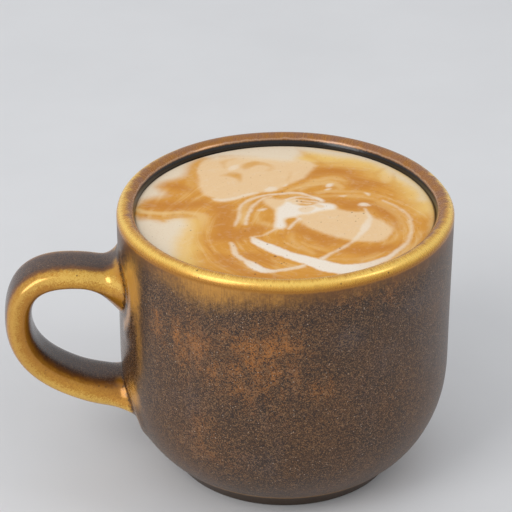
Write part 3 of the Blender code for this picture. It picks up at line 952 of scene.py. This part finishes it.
def reactive_glaze(colours):
    """Glaze that breaks from a speckled dark brown to amber gold where it runs thin on rim and handle."""
    material, tree, place = start_material("reactive_glaze")
    flow = stored(tree, "glaze_flow", "Vector")
    way = flow.part("Z")
    on_strap = stored(tree, "off_wall").ease(0.1, 1.2)
    on_rim = 1.0 - on_strap
    streak = flow.stretch((1.0, 1.0, 0.12)).noise(2.6, detail=4.0, roughness=0.6) - 0.5
    streak_wide = flow.stretch((1.0, 1.0, 0.14)).noise(0.30, detail=3.0) - 0.5
    grain = place.grouped("Fine grain", Scale=1500.0)
    blotch = place.grouped("Fine grain", Scale=420.0)
    crystal = place.grouped("Crystal grain", Cells_per_metre=4200.0)
    clouds = place.grouped("Soft clouds", Scale=45.0, Low=0.38, High=0.62)
    tall = place.stretch((1.0, 1.0, 0.45))
    mottle = tall.grouped("Soft clouds", Scale=280.0, Low=0.32, High=0.72)
    cool_clouds = tall.grouped("Soft clouds", Scale=85.0, Low=0.44, High=0.66)

    rust_grain = crystal * 0.45 + blotch * 0.8
    rust = stored(tree, "rust_and_light_places") * (mottle + 0.30) + rust_grain
    cool = cool_clouds * 0.45 + stored(tree, "cool_and_sheen_places") + rust_grain
    speckled = (on_strap * -0.45 + 1.0) * way.ease(4.0, 12.0)
    sparkle = grain * 0.7 + crystal
    specks = place.grouped("Scattered specks", Cells_per_metre=1400.0, Speck_size=0.21, Share=0.26)
    fade = (blotch * 1.6 + (streak * -2.4 + way)).ease(streak_wide * 9.0 + 9.5, 2.0)
    gold_run_and_highlight = stored(tree, "gold_and_highlight_places") * (streak * 1.2 + 1.0) + blotch * 0.35 + grain * 0.35
    body = paint_over(clouds.mix(colours.body_dark, colours.body_warm), (
        # Rust patches, one of them partly painted light on the lower left of the wall
        (rust.ease(0.08, 1.45) * 0.90, colours.rust),
        # Blue-grey glaze patches, with a painted sheen on the wall's right side
        (cool.ease(0.15, 1.3) * 0.50, colours.grey_patch_and_sheen),
        # Painted shadow of the handle on the wall beside it, in the darkest brown
        (stored(tree, "painted_handle_shadow_places") * 0.8, colours.deep_brown_and_shadow),
        (on_strap * 0.75, colours.strap_dark),
        (sparkle.ease(-0.05, -0.85) * speckled * 0.9, colours.grain_dark),
        (sparkle.ease(0.10, 1.00) * speckled * 0.85, colours.grain_light),
        (specks * speckled * 0.75, colours.speck_light),
        (fade * 0.80, colours.amber_brown),
        # Golden runs of thin glaze, with a painted highlight along the ridge between the handle's joints
        (gold_run_and_highlight.ease(0.10, 1.30) * 0.9, colours.ochre),
    ))

    # Painted light on the rim's outer curve: a painted highlight of pale gold along its middle, and painted shade
    # deepening the gold towards its lower edge
    painted_light_way = streak * 2.4 + way
    lie = blotch + stored(tree, "strap_across") + crystal
    dark_specks = place.grouped("Scattered specks", Cells_per_metre=560.0, Speck_size=0.15, Share=0.22)
    gold = paint_over(clouds.mix(colours.gold, colours.gold_warm), (
        (streak.ease(0.0, 0.20) * on_rim * 0.45, colours.gold_pale_and_highlight),
        (streak.ease(-0.02, -0.20) * on_rim * 0.45, colours.gold_deep_and_shade),
        (blotch.ease(0.0, 0.4) * 0.35, colours.gold_deep_and_shade),
        (crystal.ease(0.2, 0.9) * 0.30, colours.gold_deep_and_shade),
        (painted_light_way.ease(2.4, 3.9) * on_rim * 0.8, colours.gold_deep_and_shade),
        (painted_light_way.band(1.5, 1.5) * on_rim * 0.8, colours.gold_pale_and_highlight),
        # Painted shade: the handle's gold deepened towards the inner edge of the strap
        (lie.ease(0.6, 4.2) * on_strap * 0.85, colours.gold_deep_and_shade),
        (on_strap * 0.25, colours.gold_deep_and_shade),
        # Painted highlight: a pale gold band along the outer half of the strap
        (lie.band(-1.6, 2.2) * on_strap * 0.65, colours.gold_pale_and_highlight),
        # Painted shade: the gold deepened at the handle's outer bend, furthest from the mug
        (place.part("X").ease(-0.064, -0.082) * 0.5, colours.gold_deep_and_shade),
        (dark_specks * 0.7, colours.deep_brown_and_shadow),
    ))

    wavering_way = way + streak * 1.6
    rim_gold = wavering_way.ease(-3.0, -2.0) * way.ease(4.6, 3.8)
    # Copper of the rim's inner half: partly the glaze's own colour, partly painted shade of the gold where the rim
    # turns from the light
    copper = paint_over(mottle.mix(colours.copper, colours.mauve), ((streak.ease(0.0, 0.2) * 0.4, colours.ochre),))
    round_rim = add_node(tree, "ShaderNodeVectorMath", {0: flow, 1: COPPER_AND_SHADE_LEAN}, "Value", operation="DOT_PRODUCT")
    coppered = wavering_way + streak_wide * 5.0 - round_rim
    rim_copper_and_shade = coppered.ease(1.0, -1.0) * way.ease(-3.5, -2.6) * way.ease(3.6, 1.6)
    side_depth = stored(tree, "strap_edge")
    strap_gold = place.grouped("Wavering edge", Depth=side_depth, Scale=700.0, Reach=0.7, Blur=0.8)
    strap_amber = place.grouped("Wavering edge", Depth=side_depth + 1.5, Scale=500.0, Reach=0.9, Blur=1.3)
    crease = stored(tree, "crease_near")
    joint_gold = crease.ease(3.4, 1.0) * side_depth.ease(-4.5, -1.0) * on_strap
    body_band = (blotch * 2.0 + crease).band(3.4, 2.6) * stored(tree, "band_side")
    all_gold = strap_gold.larger(joint_gold).larger(body_band)
    inner = (streak * 0.6 + way).ease(-2.6, -3.3)
    foot = stored(tree, "foot_band")
    on_foot = foot.ease(0.0, 0.6)
    colour = paint_over(body, (
        (strap_amber * 0.9, colours.amber_brown),
        (all_gold, gold),
        (rim_gold, gold),
        # Dark amber line below the rim's gold: the glaze's break, darkened as painted shade of the rim's lower edge
        ((streak * 1.2 + way).band(4.1, 0.8) * 0.85, colours.amber_line_and_shade),
        (rim_copper_and_shade, copper),
        # Painted highlight: a thin pale line of reflected light along the rim's inner lip
        ((streak_wide * 1.5 + way).band(-2.6, 0.5) * 0.45, colours.painted_lip_highlight),
        (inner, colours.inner_black),
        ((blotch * 2.2 + (crystal * 0.5 + crease)).ease(1.0, 0.2) * 0.8, colours.deep_brown_and_shadow),
        # Dark band of the foot: its clay, darkened further as painted shade of the undercut facing the floor
        (on_foot, colours.foot_dark_and_shade),
        ((blotch * 0.4 + foot).band(0.3, 0.9) * 0.50, colours.ochre),
    ))

    glossy = rim_gold.larger(all_gold).larger(rim_copper_and_shade)
    gloss = place.math("MINIMUM", stored(tree, "gloss_places"), 1.0)
    roughness = glossy * -0.08 + 0.35 + inner * -0.20 + on_foot * 0.15 + gloss * -0.14 + grain * 0.10
    return finish_material(material, {
        "Base Color": colour, "Roughness": roughness, "Metallic": glossy * 0.35, "IOR": 1.55,
        "Specular IOR Level": glossy * 0.10 + 0.40 + on_foot * -0.20,
        "Normal": bumps(grain * (glossy * -0.8 + 1.0), 0.35, 0.00006),
    })


def milk_foam(colours):
    """Foam of a latte: orange crema with soft pale drifts, milk lines with wavering edges, and fine flecks."""
    material, tree, place = start_material("milk_foam")
    flow = stored(tree, "pour_swirl", "Vector").noise(1.0, detail=4.0, roughness=0.6, distortion=0.4)
    drift = place.grouped("Soft clouds", Scale=110.0, Low=0.36, High=0.66)
    grain = place.grouped("Fine grain", Scale=1700.0)
    haze = place.grouped("Fine grain", Scale=330.0)
    white = stored(tree, "milk_white")
    pale, orange = stored(tree, "pale_strength"), stored(tree, "orange_strength")
    layers = [(flow.ease(0.52, 0.68) * 0.45, colours.crema_pale), (flow.ease(0.46, 0.32) * 0.5, colours.crema_dark)]
    # Each layer: its depth, then scale, reach and blur of its edge, then its share and shade
    for depth, scale, reach, blur, share, shade in (
            ("dark_depth", 130.0, 1.3, 2.6, 0.75, colours.crema_dark),
            ("yellow_depth", 110.0, 1.2, 4.6, 0.90, colours.crema_yellow),
            ("pale_depth", 260.0, 0.45, 1.0, pale * 0.80, colours.crema_pale),
            ("peach_depth", 300.0, 0.45, 1.15, 0.86, colours.peach),
            ("cream_depth", 150.0, 0.9, 2.9, 0.95, colours.cream),
            ("orange_depth", 240.0, 0.45, 0.9, orange * 0.95, colours.crema_swirl),
            ("milk_depth", 560.0, 0.34, 0.65, white * 0.40 + 0.60, white.mix(colours.veil, colours.milk))):
        mask = place.grouped("Wavering edge", Depth=stored(tree, depth), Scale=scale, Reach=reach, Blur=blur)
        layers.append((mask * share, shade))
    tiny = place.grouped("Scattered specks", Cells_per_metre=950.0, Speck_size=0.17, Share=0.22)
    layers += [(haze.ease(0.02, 0.35) * 0.10, colours.milk), (grain.ease(-0.05, -0.45) * 0.20, colours.crema_dark),
               (tiny * 0.48, colours.fleck), (stored(tree, "fleck_depth").ease(-0.15, 0.15) * 0.7, colours.fleck),
               # Painted shade: a dark ring where the foam meets the wall
               (stored(tree, "wall_near").ease(0.55, 0.05) * 0.7, colours.contact_shade)]
    return finish_material(material, {
        "Base Color": paint_over(drift.mix(colours.crema, colours.crema_light), layers),
        "Roughness": grain * 0.1 + 0.46, "IOR": 1.33, "Specular IOR Level": 0.25,
        "Normal": bumps(haze * 0.6 + grain, 0.25, 0.00005),
    })


def pale_floor(colour):
    """Matt pale floor with a faint cloud in its tone."""
    material, _, place = start_material("pale_floor")
    clouds = place.grouped("Soft clouds", Scale=9.0, Low=0.3, High=0.7)
    darker = tuple(value * 0.96 for value in colour)
    return finish_material(material, {"Base Color": clouds.mix(colour, darker), "Roughness": 0.55})


def length_property(name, description, default):
    """Length in metres that the user may change."""
    return FloatProperty(name=name, description=description, default=default, min=0.0, unit="LENGTH", precision=5)


def colour_property(name, description, red, green, blue):
    """Colour that the user may change, given as a screen colour."""
    return FloatVectorProperty(name=name, description=description, default=screen_colour(red, green, blue),
                               min=0.0, max=1.0, size=3, subtype="COLOR")


class MugShape(bpy.types.PropertyGroup):
    """Sizes of the mug."""
    rim_radius: length_property("Rim radius", "Outer radius of the body above its shoulder", 0.0500)
    cavity_radius: length_property("Cavity radius", "Inner radius of the body above its shoulder", 0.0446)
    height: length_property("Height", "Height of the rim above the floor", 0.0855)
    turns: IntProperty(name="Turns", description="Points round the body", default=320, min=24)
    handle_sections: IntProperty(name="Handle sections", description="Sections along the handle", default=220, min=16)
    strap_points: IntProperty(name="Strap points", description="Points round each section of the handle",
                              default=72, min=12)


class DrinkSizes(bpy.types.PropertyGroup):
    """Sizes of the drink."""
    level: length_property("Level", "Height of the foam's surface", 0.0823)
    edge_drop: length_property("Edge drop", "How far the foam's rounded edge falls at the wall", 0.00045)
    wall_overlap: length_property("Wall overlap", "How far the drink reaches into the wall, so that no gap shows",
                                  0.0002)
    milk_rise: length_property("Milk rise", "How far the poured milk stands above the crema", 0.00010)
    surface_steps: IntProperty(name="Surface steps", description="Grid steps across the surface", default=284, min=32)


class GlazeColours(bpy.types.PropertyGroup):
    """Colours of the reactive glaze."""
    body_dark: colour_property("Body dark", "Dark brown of the body", 60, 37, 18)
    body_warm: colour_property("Body warm", "Warmer brown of the body", 78, 48, 21)
    strap_dark: colour_property("Handle dark", "Dark brown of the handle's broad faces", 72, 52, 45)
    # Deep brown: creases and flecks, and also the painted shadow of the handle on the wall
    deep_brown_and_shadow: colour_property("Deep brown", "Darkest brown, in creases and flecks", 52, 32, 20)
    grain_dark: colour_property("Dark grain", "Dark grain between the crystals", 33, 22, 17)
    grain_light: colour_property("Light grain", "Lighter grain of the crystals", 128, 96, 64)
    speck_light: colour_property("Pale speck", "Pale crystals in the glaze", 190, 166, 144)
    # Rust: orange brown patches, and painted light on the lower left of the wall
    rust: colour_property("Rust", "Orange brown patches", 168, 103, 36)
    # Cool grey: the glaze's blue-grey patches, and a painted sheen on the wall's right side
    grey_patch_and_sheen: colour_property("Cool grey", "Blue grey patches", 84, 77, 80)
    amber_brown: colour_property("Amber brown", "Brown where the gold fades into the body", 118, 72, 22)
    # Amber line: the glaze's break below the rim, and painted shade of the rim's lower edge
    amber_line_and_shade: colour_property("Amber line", "Dark amber line below the rim's gold", 160, 104, 20)
    # Ochre: golden runs, and also the painted highlight along the ridge between the handle's joints
    ochre: colour_property("Ochre", "Golden runs below the rim", 190, 134, 52)
    gold: colour_property("Gold", "Amber gold of rim and handle", 220, 166, 58)
    gold_warm: colour_property("Warm gold", "Warmer gold in soft patches", 208, 146, 50)
    # Deep gold: the glaze's darker amber, and also painted shade on the rim's lower edge and on the handle
    gold_deep_and_shade: colour_property("Deep gold", "Darker amber in the gold", 160, 104, 28)
    # Pale gold: the glaze's pale streaks, and also painted highlights on the rim and the handle
    gold_pale_and_highlight: colour_property("Pale gold", "Pale streaks in the gold", 252, 210, 106)
    # Copper: partly the glaze's own colour, partly painted shade of the rim's inner half
    copper: colour_property("Copper", "Brown of the rim's inner half", 164, 108, 44)
    mauve: colour_property("Mauve", "Pinkish patches of the rim", 146, 100, 72)
    # Painted highlight along the rim's inner lip
    painted_lip_highlight: colour_property("Pale lip", "Thin pale line inside the rim", 206, 172, 144)
    inner_black: colour_property("Inner black", "Black glaze inside the mug", 24, 20, 18)
    # Foot dark: the foot's clay, and painted shade of its undercut
    foot_dark_and_shade: colour_property("Foot dark", "Olive brown band of the foot", 60, 38, 12)


class MilkColours(bpy.types.PropertyGroup):
    """Colours of the latte's foam."""
    crema: colour_property("Crema", "Orange of the crema", 214, 148, 54)
    crema_light: colour_property("Light crema", "Lighter orange of the crema", 220, 157, 67)
    crema_dark: colour_property("Dark crema", "Darkest orange of the crema", 197, 126, 44)
    crema_pale: colour_property("Pale crema", "Pale drifts in the crema", 236, 196, 132)
    crema_yellow: colour_property("Yellow crema", "Yellow crema near the wall", 241, 203, 122)
    cream: colour_property("Cream", "Cream foam near the wall", 233, 216, 190)
    peach: colour_property("Peach", "Milky patches", 238, 205, 160)
    crema_swirl: colour_property("Swirl", "Orange swirls over the milky patches", 219, 161, 79)
    veil: colour_property("Veil", "Thin milk lines", 238, 208, 166)
    milk: colour_property("Milk", "Whitest milk", 241, 228, 210)
    # Painted shade where the foam meets the wall
    contact_shade: colour_property("Contact", "Dark line where the foam meets the wall", 110, 78, 56)
    fleck: colour_property("Fleck", "Dark flecks on the foam", 120, 70, 34)


class StudioSizes(bpy.types.PropertyGroup):
    """Floor and light of the plain studio."""
    floor_size: length_property("Floor size", "Width of the pale floor", 3.0)
    floor_colour: colour_property("Floor colour", "Colour of the pale floor", 222, 222, 223)
    sky_strength: FloatProperty(name="Sky strength", description="Strength of the even light from all sides",
                                default=0.72, min=0.0)


class LATTE_OT_glazed_mug(bpy.types.Operator):
    """Build the mug's body and handle as one piece in its reactive glaze"""
    bl_idname = "latte.glazed_mug"
    bl_label = "Glazed mug"

    def execute(self, context):
        shape = context.scene.latte_mug_shape
        body = make_mesh("mug_body", *revolve(body_profile(shape), shape.turns))
        rings = handle_rings(shape)
        strap = make_mesh("mug_strap", *close_tube(rings, rings[[0, -1]].mean(axis=1)))
        mesh = join_solids(body, strap, "glazed_mug")
        if len(mesh.vertices) < LEAST_VERTICES:
            raise RuntimeError("the union of body and handle came out empty")
        points = read_vertices(mesh)
        radius = np.hypot(points[:, 0], points[:, 1])
        off_wall = (radius - wall_radius(points[:, 2], shape.rim_radius)) / MM
        pairs = edge_ends(mesh)
        beyond = off_wall > ON_WALL
        outside = points[:, 2] > FOOT_HEIGHT + 0.001
        # The crease is made of the wall's ends of the edges that leave it
        joint = pairs[(beyond[pairs[:, 0]] != beyond[pairs[:, 1]]) & outside[pairs].all(axis=1)]
        crease = points[np.unique(np.where(beyond[joint[:, 0]], joint[:, 1], joint[:, 0]))]
        near = crease_distance(points, crease)
        points = ease_joint(mesh, points, near, JOINT_REACH, JOINT_ROUNDS)
        across = strap_across(points, shape)
        aside = np.abs(points[:, 1]) / MM
        off_wall = (np.hypot(points[:, 0], points[:, 1]) - wall_radius(points[:, 2], shape.rim_radius)) / MM
        brown = BROWN_HALF_WIDTH + BROWN_GAIN * np.clip(across, -BROWN_RANGE, BROWN_RANGE)
        direction = points[:, :2] / np.maximum(radius, 1e-6)[:, None]
        store(mesh, "glaze_flow", np.column_stack([direction * GLAZE_RADIUS, rim_way(points, shape)]))
        store(mesh, "off_wall", off_wall)
        store(mesh, "strap_edge", np.where(off_wall > OFF_WALL, aside - brown, NO_STRAP))
        store(mesh, "strap_across", across)
        store(mesh, "band_side", smooth_share(aside, 8.5, 12.5) * (off_wall < NEAR_WALL))
        store(mesh, "crease_near", near)
        store(mesh, "foot_band", (FOOT_HEIGHT - points[:, 2]) / MM)
        for name, places in GLAZE_AND_LIGHT_PLACES.items():
            store(mesh, name, place_weights(points, places))
        shift = (hand_unevenness(points) + joint_swell(points, near, off_wall))[:, None] * direction
        points[:, :2] += shift
        mesh.vertices.foreach_set("co", points.astype(np.float32).ravel())
        mesh.shade_smooth()
        mesh.set_sharp_from_angle(angle=math.radians(SHARP_ANGLE))
        mesh.update()
        mug = put_object("glazed_mug", mesh)
        mesh.materials.clear()
        mesh.materials.append(reactive_glaze(context.scene.latte_glaze_colours))
        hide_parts("mug")
        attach(mug, "root")
        return {"FINISHED"}


class LATTE_OT_poured_latte(bpy.types.Operator):
    """Build the drink with the milk pattern on its foam"""
    bl_idname = "latte.poured_latte"
    bl_label = "Poured latte"

    def execute(self, context):
        sizes = context.scene.latte_drink_sizes
        cavity = context.scene.latte_mug_shape.cavity_radius
        vertices, face_sets, top = drink_grid(sizes, cavity)
        x, y = vertices[:, 0] / MM, vertices[:, 1] / MM
        wide_x, wide_y = wander(x, y, *WIDE_WANDER)
        fine_x, fine_y = wander(x, y, *FINE_WANDER)
        lines, line_white = line_depth(MILK_LINES, fine_x, fine_y)
        middle = np.minimum(outline_depth(MILK_OUTLINES, fine_x, fine_y), -outline_depth(MILK_GAPS, fine_x, fine_y))
        thin = smooth_share(outline_depth(THIN_OUTLINES, fine_x, fine_y), -0.6, 0.8)
        milk = np.maximum(lines, middle)
        # As white as the line that runs there, or as the middle, which is thinner in its own outlines
        white = np.maximum(line_white * (lines > -0.6), smooth_share(middle, -0.5, 1.6) * (1.0 - 0.65 * thin))
        peach = outline_depth(PEACH_OUTLINES, fine_x, fine_y)
        cream = np.maximum(outline_depth(CREAM_OUTLINES, wide_x, wide_y), line_depth(CREAM_LINES, wide_x, wide_y)[0])
        depths = {"milk_depth": milk, "milk_white": white, "peach_depth": peach, "cream_depth": cream,
                  "yellow_depth": outline_depth(YELLOW_OUTLINES, wide_x, wide_y),
                  "dark_depth": outline_depth(DARK_OUTLINES, wide_x, wide_y)}
        depths["pale_depth"], depths["pale_strength"] = line_depth(PALE_LINES, fine_x, fine_y)
        depths["orange_depth"], depths["orange_strength"] = line_depth(ORANGE_LINES, wide_x, wide_y)
        depths["wall_near"] = cavity / MM - np.hypot(x, y)
        flecks = np.array(FLECKS) / PATTERN_UNITS[:3]
        gap = np.hypot(x[:, None] - flecks[None, :, 0], y[:, None] - flecks[None, :, 1])
        depths["fleck_depth"] = (flecks[None, :, 2] / 2 - gap).max(axis=1)
        on_top = np.arange(len(vertices)) < top
        inward = smooth_share(np.hypot(x, y), cavity / MM - 1.2, cavity / MM - 3.0)
        # The whitest milk stands highest, and the milky patches stand a third as high
        rise = smooth_share(milk, -0.7, 0.9) * (0.3 + 0.7 * white) + 0.3 * smooth_share(peach, -1.0, 1.0)
        vertices[:, 2] += np.where(on_top, rise * inward * sizes.milk_rise, 0.0)
        mesh = make_mesh("poured_latte", vertices, face_sets)
        for name, depth in depths.items():
            store(mesh, name, np.clip(depth, -DEPTH_LIMIT, DEPTH_LIMIT))
        offset_x, offset_y = wide_x - SWIRL_MIDDLE[0], wide_y - SWIRL_MIDDLE[1]
        swirl_radius = np.hypot(offset_x, offset_y)
        turn = SWIRL_ROUND / np.maximum(swirl_radius, 1e-6)
        swirl = np.column_stack([swirl_radius * SWIRL_OUTWARDS, offset_x * turn, offset_y * turn])
        store(mesh, "pour_swirl", swirl)
        mesh.shade_smooth()
        mesh.update()
        drink = put_object("poured_latte", mesh)
        mesh.materials.append(milk_foam(context.scene.latte_milk_colours))
        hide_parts("latte")
        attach(drink, "root")
        return {"FINISHED"}


def soft_light(name, place, size, strength):
    """Area light at a place, turned towards the mug and hidden from the camera."""
    data = bpy.data.lights.new(name, "AREA")
    data.shape = "RECTANGLE"
    data.size, data.size_y = size
    data.energy = strength
    lamp = bpy.data.objects.new(name, data)
    lamp.location = place
    lamp.rotation_euler = (Vector(LIGHT_AIM) - Vector(place)).to_track_quat("-Z", "Y").to_euler()
    lamp.visible_camera = False
    bpy.context.scene.collection.objects.link(lamp)


class LATTE_OT_studio(bpy.types.Operator):
    """Set up the pale floor, the soft light and the camera"""
    bl_idname = "latte.studio"
    bl_label = "Studio"

    def execute(self, context):
        scene = context.scene
        studio = scene.latte_studio_sizes
        half = studio.floor_size / 2
        corners = [(-half, -half, 0.0), (half, -half, 0.0), (half, half, 0.0), (-half, half, 0.0)]
        mesh = bpy.data.meshes.new("floor")
        mesh.from_pydata(corners, [], [(0, 1, 2, 3)])
        mesh.materials.append(pale_floor(tuple(studio.floor_colour)))
        put_object("floor", mesh)

        sky = bpy.data.worlds.new("studio_sky")
        sky.use_nodes = True
        background = sky.node_tree.nodes["Background"]
        background.inputs["Color"].default_value = SKY_COLOUR
        background.inputs["Strength"].default_value = studio.sky_strength
        scene.world = sky
        for light in SOFT_LIGHTS:
            soft_light(*light)

        data = bpy.data.cameras.new("camera")
        data.lens = CAMERA_LENS
        data.sensor_width = SENSOR_WIDTH
        data.clip_start = 0.01
        camera = bpy.data.objects.new("camera", data)
        look, right = Vector(CAMERA_LOOK), Vector(CAMERA_RIGHT)
        turned = Matrix((right, right.cross(look), -look)).transposed().to_4x4()
        camera.matrix_world = Matrix.Translation(CAMERA_PLACE) @ turned
        scene.collection.objects.link(camera)
        scene.camera = camera
        scene.view_settings.view_transform = "Standard"
        return {"FINISHED"}


class LATTE_PT_panel(bpy.types.Panel):
    """Builders of the latte and its studio"""
    bl_idname = "LATTE_PT_panel"
    bl_label = "Latte in a glazed mug"
    bl_space_type = "VIEW_3D"
    bl_region_type = "UI"
    bl_category = "Latte"

    def draw(self, context):
        scene = context.scene
        for operator in OPERATORS:
            self.layout.operator(operator.bl_idname)
        for name in PROPERTY_GROUPS:
            box = self.layout.box()
            group = getattr(scene, name)
            for field in group.bl_rna.properties:
                if field.identifier not in ("rna_type", "name"):
                    box.prop(group, field.identifier)


OPERATORS = (LATTE_OT_glazed_mug, LATTE_OT_poured_latte, LATTE_OT_studio)
PROPERTY_GROUPS = {
    "latte_mug_shape": MugShape,
    "latte_drink_sizes": DrinkSizes,
    "latte_glaze_colours": GlazeColours,
    "latte_milk_colours": MilkColours,
    "latte_studio_sizes": StudioSizes,
}


def register():
    """Register the classes and hang the property groups on the scene."""
    for made in (*PROPERTY_GROUPS.values(), *OPERATORS, LATTE_PT_panel):
        bpy.utils.register_class(made)
    for name, group in PROPERTY_GROUPS.items():
        setattr(bpy.types.Scene, name, PointerProperty(type=group))


def unregister():
    """Take the property groups off the scene and unregister the classes."""
    for name in PROPERTY_GROUPS:
        delattr(bpy.types.Scene, name)
    for made in reversed((*PROPERTY_GROUPS.values(), *OPERATORS, LATTE_PT_panel)):
        bpy.utils.unregister_class(made)


def main():
    """Build every piece and the studio."""
    register()
    bpy.ops.latte.glazed_mug()
    bpy.ops.latte.poured_latte()
    bpy.ops.latte.studio()


if __name__ == "__main__":
    main()
